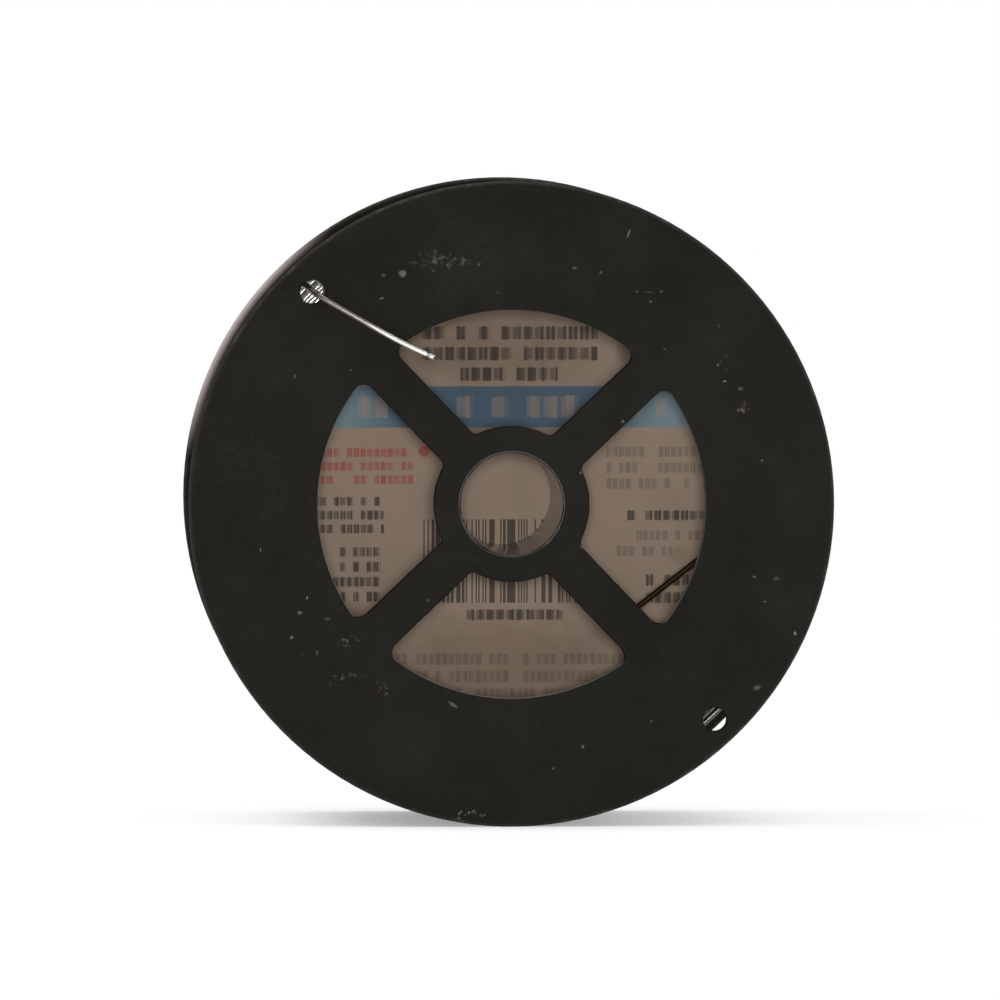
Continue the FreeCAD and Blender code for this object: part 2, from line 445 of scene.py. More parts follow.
def build_fine_dust(name):
    """Scattered specks and a faint film of dust."""
    graph, given, result = new_group(name, ("Position",), ("Speck Size", "Film"), ("Mask",))
    frequency = graph.math("DIVIDE", 0.16, given["Speck Size"])
    cells = graph.node("ShaderNodeTexVoronoi", {"Vector": given["Position"], "Scale": frequency})
    chance = graph.split(cells.outputs["Color"])[0]
    grown = graph.step(chance, 0.90, 1.0, 0.0, 0.16)
    specks = graph.fade(cells.outputs["Distance"], graph.product(grown, 0.5), grown)
    present = graph.math("GREATER_THAN", chance, 0.905)
    cloud = graph.noise(given["Position"], 55.0, 5.0, 0.62)
    film = graph.product(graph.step(cloud, 0.42, 0.78), given["Film"])
    drift = graph.step(graph.noise(given["Position"], 38.0), 0.35, 0.70, 0.25, 1.0)
    total = graph.math("MULTIPLY_ADD", graph.product(specks, present), drift, film, clamp=True)
    graph.feed(result["Mask"], total)
    return graph.tree


def build_fine_grain(name):
    """Small unevenness of a surface, as a height and as a change of roughness."""
    graph, given, result = new_group(name, ("Position",), ("Grain Size",), ("Height", "Sheen Change"))
    frequency = graph.math("DIVIDE", 0.5, given["Grain Size"])
    fine = graph.noise(given["Position"], frequency, 4.0, 0.6)
    broad = graph.noise(given["Position"], graph.math("DIVIDE", frequency, 22.0))
    graph.feed(result["Height"], graph.math("MULTIPLY_ADD", broad, 2.0, fine))
    graph.feed(result["Sheen Change"], graph.math("SUBTRACT", graph.math("ADD", fine, broad), 1.0))
    return graph.tree


BOX_SIDES = ("Left", "Right", "Bottom", "Top")
ROW_SIZES = (*BOX_SIDES, "Row Pitch", "Stroke")
STROKES_PER_MARK = 4


def build_print_rows(name):
    """Rows of plain bars inside a box, as long as words would be and streaked across; they spell nothing."""
    graph, given, result = new_group(name, ("Position",), (*ROW_SIZES, "Softness"), ("Mask",))
    parts = graph.split(given["Position"])
    across, up = parts[0], parts[2]
    rows = graph.math("DIVIDE", graph.math("SUBTRACT", up, given["Bottom"]), given["Row Pitch"])
    row = graph.math("FLOOR", rows)
    from_middle = graph.math("ABSOLUTE", graph.math("SUBTRACT", graph.math("SUBTRACT", rows, row), 0.5))
    height = graph.product(from_middle, given["Row Pitch"])
    seed = graph.math("ADD", row, graph.product(given["Bottom"], 977.0))
    strokes = graph.math("DIVIDE", graph.math("SUBTRACT", across, given["Left"]), given["Stroke"])
    stroke = graph.math("FLOOR", strokes)
    mark = graph.math("FLOOR", graph.math("DIVIDE", stroke, STROKES_PER_MARK))
    in_mark = graph.math("SUBTRACT", stroke, graph.product(mark, STROKES_PER_MARK))
    chance = graph.chance(stroke, 0.0, seed)
    half_row = graph.product(given["Row Pitch"], graph.math("MULTIPLY_ADD", chance, 0.06, 0.28))
    body = graph.edge(height, half_row, given["Softness"], 1.0, 0.0)
    between = graph.math("GREATER_THAN", in_mark, 2.5)
    weight = graph.product(graph.step(chance, 0.0, 0.8, 0.6, 1.0),
                           graph.math("MULTIPLY_ADD", between, -0.75, 1.0))
    sides = graph.product(graph.math("GREATER_THAN", graph.chance(mark, seed, 5.0), 0.17),
                          graph.math("GREATER_THAN", across, given["Left"]),
                          graph.math("LESS_THAN", across, given["Right"]),
                          graph.math("GREATER_THAN", up, given["Bottom"]),
                          graph.math("LESS_THAN", up, given["Top"]))
    graph.feed(result["Mask"], graph.product(body, weight, sides))
    return graph.tree


def build_print_box(name):
    """Plain printed rectangle with soft edges."""
    graph, given, result = new_group(name, ("Position",), (*BOX_SIDES, "Softness"), ("Mask",))
    parts = graph.split(given["Position"])
    sides = []
    for value, low, high in ((parts[0], "Left", "Right"), (parts[2], "Bottom", "Top")):
        sides.append(graph.edge(value, given[low], given["Softness"]))
        sides.append(graph.edge(value, given[high], given["Softness"], 1.0, 0.0))
    graph.feed(result["Mask"], graph.product(*sides))
    return graph.tree


def build_label_print(name):
    """Generic print of the label: rows that say nothing, a band, bars that encode nothing and a red dot."""
    graph, given, result = new_group(name, ("Position",), ("Softness",),
                                     ("Dark", "Faint", "Blue", "Red", "Pale"))

    def printed(build, sizes, place):
        """Mask of one place of the print, whose sizes are in mm."""
        inputs = {"Position": given["Position"], "Softness": given["Softness"]}
        for size, value in zip(sizes, place):
            inputs[size] = value * MM
        return graph.group(build, inputs)["Mask"]

    def rows(places):
        """Mask of several blocks of rows."""
        return graph.highest(*[printed(build_print_rows, ROW_SIZES, place) for place in places])

    parts = graph.split(given["Position"])
    bar = graph.math("FLOOR", graph.math("DIVIDE", parts[0], BAR_WIDTH * MM))
    bar_chance = graph.node("ShaderNodeTexWhiteNoise", {"W": bar}, noise_dimensions="1D").outputs["Value"]
    bars = graph.product(graph.math("GREATER_THAN", bar_chance, 0.5),
                         printed(build_print_box, BOX_SIDES, BARS))
    right, up, radius = RED_DOT
    from_dot = graph.length(graph.from_point(parts, (right, up)))
    dot = graph.edge(from_dot, radius * MM, given["Softness"], 1.0, 0.0)
    graph.feed(result["Dark"], graph.highest(rows(DARK_ROWS), bars))
    graph.feed(result["Faint"], rows(FAINT_ROWS))
    graph.feed(result["Blue"], printed(build_print_box, BOX_SIDES, BLUE_BAND))
    graph.feed(result["Red"], graph.highest(rows(RED_ROWS), dot))
    graph.feed(result["Pale"], rows(PALE_ROWS))
    return graph.tree


def new_material(name):
    """Empty material; returns it with its graph, its Principled shader and the Object coordinates."""
    material = bpy.data.materials.new(name)
    material.use_nodes = True
    graph = Graph(material.node_tree)
    shader = material.node_tree.nodes["Principled BSDF"]
    position = graph.node("ShaderNodeTexCoord").outputs["Object"]
    return material, graph, shader, position


def dress(graph, shader, colour, roughness, strength, depth, height):
    """Feeds a shader its colour, its roughness and its relief."""
    bump = graph.node("ShaderNodeBump", {"Strength": strength, "Distance": depth, "Height": height})
    for name, value in (("Base Color", colour), ("Roughness", roughness), ("Normal", bump.outputs[0])):
        graph.feed(shader.inputs[name], value)


def face_wear(graph, position):
    """Rubbed and dusty marks and patches of specks on the plain face."""
    ragged = graph.noise(position, 1.0 / (0.8 * MM), 3.0, 0.65)
    marks = []
    for speckle, places in ((0.0, FACE_MARKS), (1.0, FACE_SPECKS)):
        for right, up, length, height, turn, strength in places:
            inputs = {"Position": position, "Break": ragged, "Speckle": speckle,
                      "Centre": (right * MM, PLAIN_FACE, up * MM),
                      "Size": (length * MM / 2, MARK_DEPTH, height * MM / 2), "Turn": math.radians(turn)}
            marks.append(graph.product(graph.group(build_scuff_spot, inputs)["Mask"], strength))
    return graph.highest(*marks)


def edge_wear_and_highlights(graph, position, parts, from_axis):
    """Rubbed rims of the flanges with an even pale line that stands in for their highlight, worn edges of the
    windows with a painted highlight on the lower edges, and a painted highlight on one side of the anchor
    hole's edge.
    """
    rim = graph.step(from_axis, RIM_RADIUS - 0.7 * MM, RIM_RADIUS - 0.1 * MM)
    rim_break = graph.step(graph.noise(position, 420.0, 4.0, 0.7), 0.50, 0.66)
    # Rims: rubbed patches as wear, over an even pale line on the rounding that stands in for its painted
    # highlight
    rim_wear_and_highlight = graph.product(rim, graph.math("MULTIPLY_ADD", rim_break, 0.14, 0.10))
    # Window edges: faintly pale all round as wear, and paler on their lower edges, which face up, as a
    # painted highlight
    at_window = graph.math("ABSOLUTE", graph.math("SUBTRACT", from_axis, WINDOW_RADIUS - 0.05 * MM))
    low_side = graph.step(graph.math("DIVIDE", parts[2], from_axis), -1.0, 0.9, 0.65, 0.2)
    window_wear_and_highlight = graph.product(graph.fade(at_window, 0.12 * MM, 0.3 * MM), low_side,
                                graph.step(parts[1], PLAIN_FACE + 0.02 * MM, PLAIN_FACE + 0.12 * MM))
    # Painted highlight: the right and upper side of the anchor hole's edge made pale, where the edge catches
    # light
    from_hole = graph.from_point(parts, ANCHOR_HOLE)
    hole_reach = graph.length(from_hole)
    at_hole = graph.math("ABSOLUTE", graph.math("SUBTRACT", hole_reach, HOLE_RADIUS + 0.03 * MM))
    hole_highlight_side = graph.vector("DOT_PRODUCT", from_hole, HOLE_HIGHLIGHT_SIDE, output="Value")
    hole_highlight = graph.product(graph.fade(at_hole, 0.05 * MM, 0.15 * MM),
                              graph.step(graph.math("DIVIDE", hole_highlight_side, hole_reach), 0.45, 0.85, 0.0, 0.9))
    return graph.highest(rim_wear_and_highlight, window_wear_and_highlight, hole_highlight)


def far_rim_highlight(graph, position, parts, from_axis):
    """Painted highlight: pale colour on one side of the far flange's rim, where the rim catches the light."""
    towards_far_rim_highlight = graph.vector("DOT_PRODUCT", position, (-math.sin(FAR_RIM_HIGHLIGHT_ANGLE), 0.0, math.cos(FAR_RIM_HIGHLIGHT_ANGLE)),
                                output="Value")
    far_rim_highlight_side = graph.step(graph.math("DIVIDE", towards_far_rim_highlight, from_axis), 0.90, 1.0)
    return graph.product(far_rim_highlight_side, graph.step(from_axis, RIM_RADIUS - 1.4 * MM, RIM_RADIUS - 0.2 * MM),
                         graph.step(parts[1], WINDING_HALF_WIDTH - 1 * MM, WINDING_HALF_WIDTH),
                         graph.fade(parts[1], -PLAIN_FACE - 1.5 * MM, -PLAIN_FACE - 0.6 * MM))


def black_plastic(finish):
    """Satin black moulding: fine grain, dust, scuffs of the plain face, rubbed rims and a smooth bore, with
    painted highlights on the far rim, the rims' rounding, the lower window edges and one side of the anchor
    hole.
    """
    material, graph, shader, position = new_material("black_moulded_plastic")
    parts = graph.split(position)
    from_axis = graph.reach(parts[0], parts[2])
    grain = graph.group(build_fine_grain, {"Position": position, "Grain Size": 0.35 * MM})
    dust = graph.group(build_fine_dust, {"Position": position, "Speck Size": 0.35 * MM, "Film": 0.05})
    # Dust, scuffs and wear, with the painted highlights of the rims and of the window and hole edges
    pale = graph.highest(face_wear(graph, position), edge_wear_and_highlights(graph, position, parts, from_axis),
                         graph.product(dust["Mask"], 0.6))
    shade = graph.step(graph.noise(position, 34.0, 3.0, 0.55), 0.3, 0.7)
    plastic = graph.mix(shade, opaque(finish.colour, 0.9), opaque(finish.colour, 1.1))
    dusty = graph.mix(pale, plastic, opaque(finish.dust_and_highlight_colour))
    # Painted highlight: the far rim made pale on its upper left side
    film = graph.product(far_rim_highlight(graph, position, parts, from_axis), 0.75)
    far_rim_highlighted = graph.mix(film, dusty, opaque(finish.far_rim_highlight_colour))

    in_bore = graph.fade(from_axis, BORE_RADIUS + 0.12 * MM, BORE_RADIUS + 0.35 * MM)
    rough = graph.math("MULTIPLY_ADD", grain["Sheen Change"], 0.25, finish.roughness)
    rough = graph.math("MULTIPLY_ADD", pale, 0.35, rough, clamp=True)
    height = graph.product(grain["Height"], graph.math("SUBTRACT", 1.0, in_bore))
    dress(graph, shader, far_rim_highlighted, rough, 0.35, finish.grain, height)
    shader.inputs["Specular IOR Level"].default_value = finish.gloss
    graph.feed(shader.inputs["Coat Weight"], graph.product(in_bore, 0.9))
    shader.inputs["Coat Roughness"].default_value = 0.16
    return material


def drawn_steel(finish):
    """Bright drawn wire: fine lines along it, a faint grey film, and painted shade at the holes and inside.
    """
    material, graph, shader, position = new_material("drawn_steel_wire")
    parts = graph.split(position)
    from_axis = graph.reach(parts[0], parts[2])
    angle = graph.math("ARCTAN2", parts[2], parts[0])
    along = graph.join(from_axis, parts[1], graph.product(angle, 0.004))
    lines = graph.noise(along, 5200.0, 2.0, 0.6)
    film = graph.noise(position, 130.0, 4.0, 0.6)
    dust = graph.group(build_fine_dust, {"Position": position, "Speck Size": 0.22 * MM, "Film": 0.15})
    dull = graph.math("MULTIPLY_ADD", graph.step(film, 0.35, 0.72), 0.55, graph.product(dust["Mask"], 0.4),
                      clamp=True)
    grey = opaque(finish.colour, 0.62)
    steel = graph.mix(dull, opaque(finish.colour), grey)
    shaded = graph.mix(graph.step(lines, 0.35, 0.62, 0.0, 0.3), steel, grey)

    # Painted shade: the wire made near black inside the spool's hollow
    inside = graph.product(graph.fade(from_axis, HOLLOW_RADIUS, HOLLOW_RADIUS + 2 * MM),
                           graph.step(parts[1], PLAIN_FACE, PLAIN_FACE + 8 * MM))
    # Painted shade: the wire darker and browner where it rises from the anchor hole
    at_hole = graph.product(graph.fade(parts[0], -24.5 * MM, -18.5 * MM),
                            graph.fade(parts[1], PLAIN_FACE - 0.6 * MM, PLAIN_FACE + 0.4 * MM))
    # Painted shade: the turns darkened under the unused hole, where the flange shades them
    from_spare = graph.length(graph.from_point(parts, SPARE_HOLE))
    at_spare = graph.product(graph.step(from_spare, 3.0 * MM, 6.5 * MM, 0.85, 0.0),
                             graph.fade(parts[1], -8 * MM, 0.0))
    # The three painted shades are mixed into the wire's colour
    for mask, amount, painted_shade in ((inside, 0.98, HOLLOW_SHADE), (at_hole, 0.85, HOLE_SHADE),
                                (at_spare, 1.0, SPARE_SHADE)):
        shaded = graph.mix(graph.product(mask, amount), shaded, opaque(painted_shade))
    rough = graph.math("MULTIPLY_ADD", lines, 0.05, finish.roughness - 0.025)
    rough = graph.math("MULTIPLY_ADD", dull, 0.16, rough)
    rough = graph.math("MULTIPLY_ADD", inside, 0.25, rough, clamp=True)
    dress(graph, shader, shaded, rough, 0.1, 0.004 * MM, lines)
    shader.inputs["Metallic"].default_value = 1.0
    return material


def build_stain(name):
    """One soft uneven stain of the paper."""
    graph, given, result = new_group(name, ("Position", "Centre", "Size"), ("Break",), ("Mask",))
    away = graph.vector("SUBTRACT", given["Position"], given["Centre"])
    distance = graph.length(graph.vector("DIVIDE", away, given["Size"]))
    ragged = graph.math("MULTIPLY_ADD", given["Break"], 0.9, distance)
    graph.feed(result["Mask"], graph.fade(ragged, 0.75, 1.5))
    return graph.tree


def label_paper(name, finish, ground, softness, strength, faint, stained):
    """One side of the printed paper; a soft, weak print is what shows through from the other side."""
    material, graph, shader, position = new_material(name)
    design = graph.group(build_label_print, {"Position": position, "Softness": softness})
    grain = graph.group(build_fine_grain, {"Position": position, "Grain Size": 0.25 * MM})
    blotches = graph.noise(position, 60.0, 4.0, 0.6)
    colour = graph.mix(graph.step(blotches, 0.35, 0.70), opaque(ground), opaque(ground, 0.88))
    dark = opaque(part * dye for part, dye in zip(ground, finish.ink))
    faded = opaque(part * 0.4 + light * 0.6 for part, light in zip(finish.band, FADED_BAND))
    from_middle = graph.math("ABSOLUTE", graph.split(position)[0])
    band = graph.mix(graph.step(from_middle, 12 * MM, 30 * MM, 0.0, 0.9), opaque(finish.band), faded)
    inks = (("Blue", strength * 1.1, band), ("Pale", strength * 0.75, opaque(ground)),
            ("Red", strength * 0.9, opaque(finish.accent)), ("Faint", faint, dark), ("Dark", strength, dark))
    for kind, amount, dye in inks:
        colour = graph.mix(graph.product(design[kind], min(1.0, amount)), colour, dye)
    if stained:
        ragged = graph.noise(position, 260.0, 3.0, 0.6)
        for right, up, length, height, amount in STAINS:
            inputs = {"Position": position, "Break": ragged, "Centre": (right * MM, LABEL_SEAT, up * MM),
                      "Size": (length * MM / 2, STAIN_DEPTH, height * MM / 2)}
            mask = graph.product(graph.group(build_stain, inputs)["Mask"], amount)
            colour = graph.mix(mask, colour, opaque(STAIN_BROWN), "MULTIPLY")
    rough = graph.math("MULTIPLY_ADD", grain["Sheen Change"], 0.15, 0.68, clamp=True)
    dress(graph, shader, colour, rough, 0.3, 0.01 * MM, grain["Height"])
    shader.inputs["Specular IOR Level"].default_value = 0.3
    return material


def deselect():
    """Leaves nothing selected."""
    bpy.ops.object.select_all(action="DESELECT")


def pick(piece):
    """Makes one piece the only one that the next operators act on."""
    deselect()
    piece.select_set(True)
    bpy.context.view_layer.objects.active = piece


def settle_place():
    """Writes the active piece's place, turn and size into its mesh."""
    bpy.ops.object.transform_apply(location=True, rotation=True, scale=True)


def apply_modifiers(piece):
    """Applies every modifier of a piece in order."""
    pick(piece)
    for modifier in list(piece.modifiers):
        bpy.ops.object.modifier_apply(modifier=modifier.name)


def face_outwards(piece):
    """Turns all faces of a piece outwards."""
    pick(piece)
    bpy.ops.object.mode_set(mode="EDIT")
    bpy.ops.mesh.select_all(action="SELECT")
    bpy.ops.mesh.normals_make_consistent(inside=False)
    bpy.ops.object.mode_set(mode="OBJECT")


def close_holes(piece):
    """Fills the open ends of a tube."""
    pick(piece)
    bpy.ops.object.mode_set(mode="EDIT")
    bpy.ops.mesh.select_all(action="DESELECT")
    bpy.ops.mesh.select_mode(type="EDGE")
    bpy.ops.mesh.select_non_manifold(extend=False, use_boundary=True, use_wire=False,
                                     use_multi_face=False, use_non_contiguous=False, use_verts=False)
    bpy.ops.mesh.fill_holes(sides=0)
    bpy.ops.object.mode_set(mode="OBJECT")


def turned(profile_add, steps, turns=1, rise=0.0):
    """Turns the profile that a function adds about the spool's axis, with a rise per turn."""
    profile_add()
    piece = bpy.context.object
    settle_place()
    screw = piece.modifiers.new("turns", "SCREW")
    screw.axis = "Y"
    screw.angle = 2 * math.pi
    screw.iterations = turns
    screw.screw_offset = rise
    screw.steps = steps
    screw.render_steps = steps
    screw.use_merge_vertices = rise == 0.0
    screw.merge_threshold = 0.001 * MM
    apply_modifiers(piece)
    return piece


def round_section(radius, wire_radius, depth, sides):
    """Round section of the wire in the plane through the axis."""
    deselect()
    bpy.ops.mesh.primitive_circle_add(vertices=sides, radius=wire_radius, location=(radius, depth, 0))


def shoulder_fall(radius, depth):
    """How much lower a turn lies beside the plain flange, where the last turns of a full spool step down."""
    share = 1 - (depth + WINDING_HALF_WIDTH) / SHOULDER_WIDTH
    return SHOULDER_SHARE * max(0.0, min(1.0, share)) * (radius - BARREL_RADIUS)


def wire_layer(name, radius, depth, turns, wire_radius, steps, sides, end_angle):
    """One layer of turns, from the far flange to the plain one, where it ends at an angle."""
    rise = -2 * depth / turns
    piece = turned(lambda: round_section(radius, wire_radius, depth, sides), steps, turns, rise)
    piece.name = name
    for vertex in piece.data.vertices:
        section = vertex.index // sides
        place = vertex.co
        reach = math.hypot(place.x, place.z)
        lower = 1 - shoulder_fall(radius, depth + rise * section / steps) / reach
        vertex.co = (place.x * lower, place.y, place.z * lower)
    close_holes(piece)
    pick(piece)
    piece.rotation_euler = (0, -end_angle, 0)
    settle_place()
    return piece


def wire_ring(radius, depth, wire_radius):
    """One closed turn that shows on an end of the winding."""
    lower = radius - shoulder_fall(radius, depth)
    return turned(lambda: round_section(lower, wire_radius, depth, SHOWN_SIDES), INNER_STEPS)


def hidden_core(inner, outer, depth):
    """Plain sleeve inside the turns, which closes the view between them."""

    def outline():
        deselect()
        bpy.ops.mesh.primitive_plane_add(size=1, location=((inner + outer) / 2, 0, 0))
        bpy.context.object.scale = (outer - inner, 2 * depth, 1)
        bpy.ops.object.mode_set(mode="EDIT")
        bpy.ops.mesh.select_all(action="SELECT")
        bpy.ops.mesh.delete(type="ONLY_FACE")
        bpy.ops.object.mode_set(mode="OBJECT")

    return turned(outline, OUTER_STEPS)


def wind_layers(wire_radius, turns):
    """Two layers of turns, the rings that show on the ends below them, and the sleeve inside, joined."""
    pitch = wire_radius * math.sqrt(3)
    outer = WINDING_RADIUS - wire_radius
    flush = WINDING_HALF_WIDTH - wire_radius
    pieces = [wire_layer("wound_wire", outer, flush, turns, wire_radius, OUTER_STEPS, SHOWN_SIDES,
                         ANCHOR_ANGLE + math.radians(20)),
              wire_layer("second_layer", outer - pitch, flush - wire_radius, turns, wire_radius,
                         INNER_STEPS, SECOND_SIDES, ANCHOR_ANGLE - math.radians(150))]
    layer = 2
    while outer - layer * pitch > BARREL_RADIUS + wire_radius:
        set_back = wire_radius * (layer % 2)
        for side in (-1, 1):
            pieces.append(wire_ring(outer - layer * pitch, side * (flush - set_back), wire_radius))
        layer += 1
    core_outer = outer - pitch - wire_radius - shoulder_fall(outer, -flush)
    pieces.append(hidden_core(BARREL_RADIUS + 0.1 * MM, core_outer, flush - 2 * wire_radius))
    return joined(pieces, "wound_wire")


def crossing_route(radius, depth, turns, end_angle, climb_height):
    """Points in mm of a few steep turns on top of the winding, from the far flange to the plain one."""
    points_per_turn = 24
    points_of_climb = 5
    step = 2 * math.pi / points_per_turn
    stand_out = 3 / (2 + math.cos(step))
    count = turns * points_per_turn
    points = []
    for index in range(count):
        share = index / count
        angle = end_angle + (count - index) * step
        climb = min(1.0, index / points_of_climb)
        reach = (radius - climb_height * (1 - climb)) * stand_out
        drift = 0.05 * math.sin(5.0 * share + 0.6)
        y = depth * (1 - 2 * share * (1 - drift))
        points.append((reach * math.cos(angle) / MM, y / MM, reach * math.sin(angle) / MM))
    return tuple(points)


def bent_wire(name, route, wire_radius, steps=8):
    """Round wire along a smooth curve near points in mm."""
    deselect()
    bpy.ops.curve.primitive_nurbs_path_add()
    piece = bpy.context.object
    piece.name = name
    curve = piece.data
    curve.splines.clear()
    spline = curve.splines.new("NURBS")
    spline.points.add(len(route) - 1)
    for point, place in zip(spline.points, route):
        point.co = (*(part * MM for part in place), 1.0)
    spline.order_u = 4
    spline.use_endpoint_u = True
    spline.resolution_u = steps
    curve.dimensions = "3D"
    curve.bevel_depth = wire_radius
    curve.bevel_resolution = 4
    curve.use_fill_caps = True
    piece.location = (0, 0, 0)
    pick(piece)
    bpy.ops.object.convert(target="MESH")
    piece = bpy.context.object
    settle_place()
    return piece


def pinch_tip(piece, route, wire_radius):
    """Cuts the wire's tip the way pliers leave it: a nick, then a notch between two uneven prongs."""
    tip = Vector(route[-1]) * MM
    way = (Vector(route[-1]) - Vector(route[-2])).normalized()
    side = way.cross(Vector((0, -1, 0))).normalized()
    near_tip = 3 * MM
    pick(piece)
    bpy.ops.object.mode_set(mode="EDIT")
    bpy.ops.mesh.select_mode(type="VERT")
    bpy.ops.object.mode_set(mode="OBJECT")
    for vertex in piece.data.vertices:
        back = (tip - vertex.co).dot(way)
        vertex.select = 0.65 * MM < back < 0.95 * MM and (tip - vertex.co).length < near_tip
    bpy.ops.object.mode_set(mode="EDIT")
    bpy.ops.transform.resize(value=(0.62, 0.62, 0.62), center_override=tip - way * 0.8 * MM)
    for low, high, prong in ((0.25, 1.1, 0.62 * MM), (-1.1, -0.25, 0.28 * MM)):
        bpy.ops.mesh.select_all(action="DESELECT")
        bpy.ops.object.mode_set(mode="OBJECT")
        for vertex in piece.data.vertices:
            offset = vertex.co - tip
            across = offset.dot(side) / wire_radius
            at_end = abs(offset.dot(way)) < 0.02 * MM and offset.length < near_tip
            vertex.select = at_end and low < across < high
        bpy.ops.object.mode_set(mode="EDIT")
        bpy.ops.transform.translate(value=way * prong)
    bpy.ops.object.mode_set(mode="OBJECT")


def joined(pieces, name):
    """Joins pieces into the first one."""
    deselect()
    for piece in pieces:
        piece.select_set(True)
    bpy.context.view_layer.objects.active = pieces[0]
    bpy.ops.object.join()
    pieces[0].name = name
    pieces[0].data.name = name
    return pieces[0]


def push_about(piece, name, scale, strength, middle, direction, kind="GRAYSCALE", vertices=""):
    """Moves a piece's surface by a smooth fixed noise."""
    cloud = bpy.data.textures.new(name, "CLOUDS")
    cloud.cloud_type = kind
    cloud.noise_scale = scale
    cloud.noise_depth = 1
    shift = piece.modifiers.new(name, "DISPLACE")
    shift.texture = cloud
    shift.texture_coords = "LOCAL"
    shift.direction = direction
    shift.mid_level = middle
    shift.strength = strength
    shift.vertex_group = vertices
    apply_modifiers(piece)


def shade_smooth(piece, limit_degrees):
    """Smooth shading with sharp edges above an angle."""
    pick(piece)
    bpy.ops.object.shade_smooth_by_angle(angle=math.radians(limit_degrees))


def give_material(piece, *materials):
    """Gives a piece its materials and nothing else."""
    piece.data.materials.clear()
    for material in materials:
        piece.data.materials.append(material)


class WIRESPOOL_OT_spool(bpy.types.Operator):
    """Gives the moulded spool its black plastic finish"""

    bl_idname = "wire_spool.spool"
    bl_label = "Finish Spool"

    def execute(self, context):
        finish = context.scene.wire_spool_plastic
        plastic = black_plastic(finish)
        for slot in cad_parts["spool"].material_slots:
            slot.material = plastic
        return {"FINISHED"}


class WIRESPOOL_OT_wire(bpy.types.Operator):
    """Winds the steel wire and leads its two ends out"""

    bl_idname = "wire_spool.wire"
    bl_label = "Wind Wire"

    def execute(self, context):
        settings = context.scene.wire_spool_wire
        wire_radius = settings.diameter / 2
        winding = wind_layers(wire_radius, settings.turns)
        push_about(winding, "turn_stray", 0.011, settings.waviness, 0.5, "RGB_TO_XYZ", "COLOR")
        lead_angle = math.atan2(OUTER_END_ROUTE[0][2], OUTER_END_ROUTE[0][0]) + math.radians(9)
        route = crossing_route(WINDING_RADIUS + wire_radius, WINDING_HALF_WIDTH - wire_radius,
                               settings.crossing_turns, lead_angle, settings.diameter)
        through_hole = OUTER_END_ROUTE[:POINTS_THROUGH_HOLE]
        crossing = bent_wire("crossing_turns", route + through_hole, wire_radius, steps=5)
        outer_end = bent_wire("outer_end", OUTER_END_ROUTE, wire_radius, steps=24)
        pinch_tip(outer_end, OUTER_END_ROUTE, wire_radius)
        inner_end = bent_wire("inner_end", INNER_END_ROUTE, wire_radius)
        wire = joined([winding, crossing, outer_end, inner_end], "wound_wire")
        face_outwards(wire)
        shade_smooth(wire, 50)
        give_material(wire, drawn_steel(settings))
        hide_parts("wire")
        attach(wire, "root")
        return {"FINISHED"}


def label_disc(radius, place):
    """Flat round sheet of many rings, facing the plain side."""
    rings = 26
    innermost = 0.05
    deselect()
    bpy.ops.mesh.primitive_circle_add(vertices=144, radius=radius, fill_type="NOTHING",
                                      location=(0, place, 0), rotation=(math.pi / 2, 0, 0))
    piece = bpy.context.object
    settle_place()
    bpy.ops.object.mode_set(mode="EDIT")
    bpy.ops.mesh.select_all(action="SELECT")
    for ring in range(rings - 1, -1, -1):
        shrink = max(ring, innermost) / (ring + 1)
        bpy.ops.mesh.extrude_edges_move()
        bpy.ops.transform.resize(value=(shrink, 1, shrink), center_override=(0, place, 0))
    bpy.ops.mesh.merge(type="CENTER")
    bpy.ops.object.mode_set(mode="OBJECT")
    return piece


def loosen_over_hollow(piece, sag):
    """Lets the paper sag and ripple where neither the flange, the hub nor a rib carries it."""
    group = piece.vertex_groups.new(name="free_paper")
    rib_half = 1.0 * MM
    ease = 4.0 * MM
    quarter = math.pi / 2
    for vertex in piece.data.vertices:
        radius = math.hypot(vertex.co.x, vertex.co.z)
        angle = math.atan2(vertex.co.z, vertex.co.x) - SPOKE_ANGLE
        to_rib = abs((angle + quarter / 2) % quarter - quarter / 2)
        from_rib = radius * math.sin(to_rib) - rib_half
        from_hub = radius - HUB_RADIUS
        from_wall = HOLLOW_RADIUS - radius
        freedom = min(from_rib, from_hub, from_wall) / ease
        if radius < BORE_RADIUS:
            freedom = (BORE_RADIUS - radius) / ease
        group.add([vertex.index], max(0.0, min(1.0, freedom)), "REPLACE")
    push_about(piece, "paper_ripple", 0.016, sag, 1.0, "Y", vertices=group.name)


class WIRESPOOL_OT_label(bpy.types.Operator):
    """Lays the printed paper label on the far flange"""

    bl_idname = "wire_spool.label"
    bl_label = "Lay Label"

    def execute(self, context):
        settings = context.scene.wire_spool_label
        paper = label_disc(LABEL_RADIUS, LABEL_SEAT)
        paper.name = "paper_label"
        loosen_over_hollow(paper, settings.ripple)
        face_outwards(paper)
        thick = paper.modifiers.new("thickness", "SOLIDIFY")
        thick.thickness = settings.thickness
        thick.offset = 1.0
        thick.material_offset = 1
        thick.material_offset_rim = 1
        # Painted shade: the back is a darker brown copy of the paper material
        back = label_paper("label_back", settings, settings.back, 0.10 * MM, 0.80, 0.34, True)
        front = label_paper("label_front", settings, settings.paper, 0.03 * MM, 0.95, 0.75, False)
        give_material(paper, front, back)
        apply_modifiers(paper)
        shade_smooth(paper, 40)
        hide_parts("label")
        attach(paper, "root")
        return {"FINISHED"}


def direction(azimuth, elevation):
    """Way from the object to a viewpoint; azimuth 0 is in front of it and left is positive."""
    return Vector((-math.sin(azimuth) * math.cos(elevation), -math.cos(azimuth) * math.cos(elevation),
                   math.sin(elevation)))


